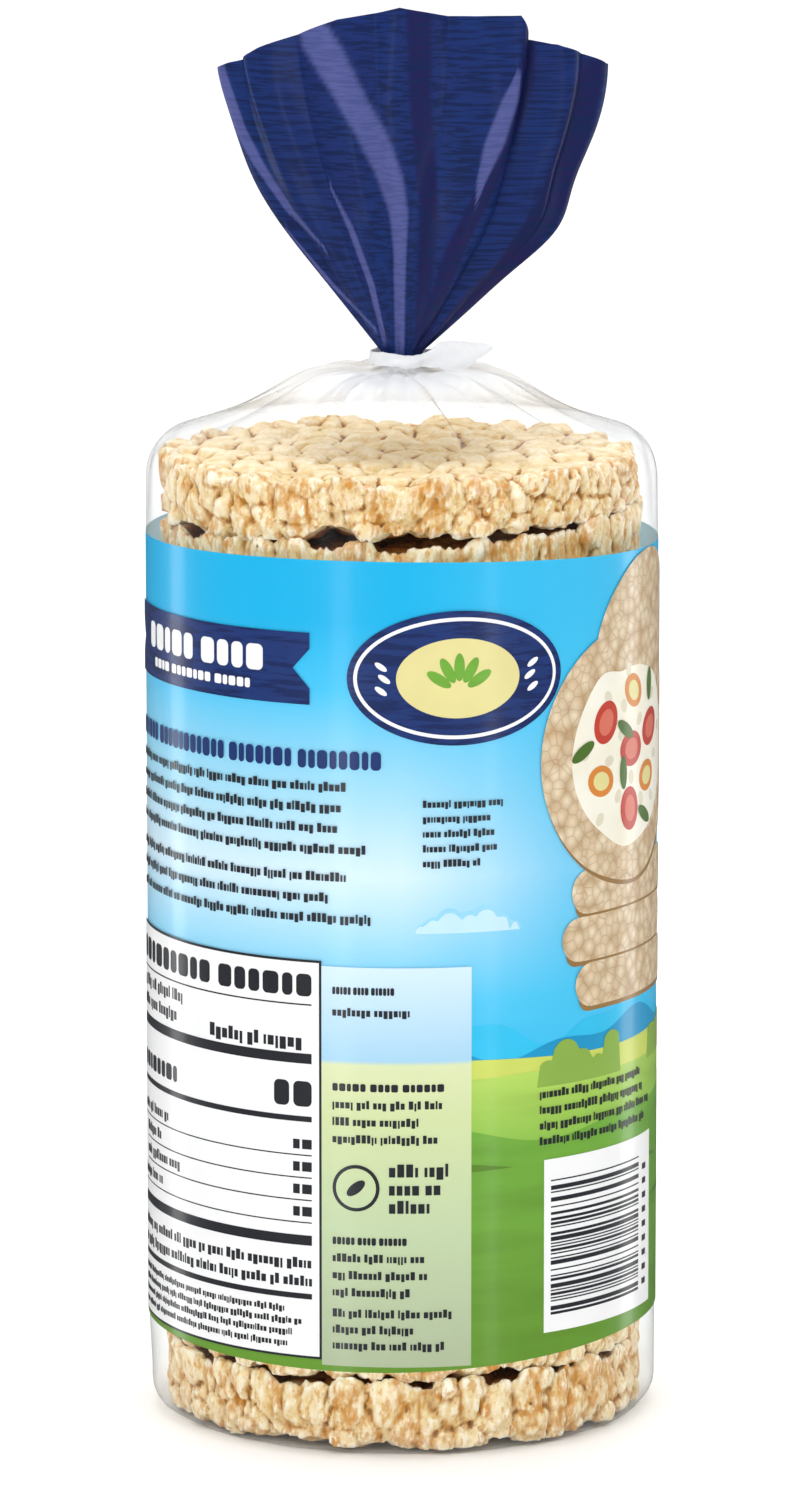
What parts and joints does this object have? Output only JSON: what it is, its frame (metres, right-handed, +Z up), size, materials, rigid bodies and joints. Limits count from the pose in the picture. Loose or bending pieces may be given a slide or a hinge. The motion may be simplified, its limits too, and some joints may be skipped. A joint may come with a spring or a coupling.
{
  "type": "bag of puffed rice cakes",
  "caption": "Tall round stack of puffed rice cakes in a clear printed film bag, gathered over the top cake, closed with a strip of tape and flared into a dark blue tail.",
  "frame": {"origin": "centre of the bag's flat base", "axes": "+Z up along the stack; -Y is the printed front; +X is to the right seen from the front"},
  "size_m": [0.1008, 0.1008, 0.2796],
  "materials": {
    "clear_film": "clear, glossy, lightly wrinkled film",
    "printed_film": "glossy printed film",
    "rice_cake": "dry puffed rice, cream with tan crevices and golden bran flecks",
    "tape": "satin white tape"
  },
  "bodies": {
    "root": {"bag": "clear_film", "neck_tape": "tape"}
  },
  "joints": []
}
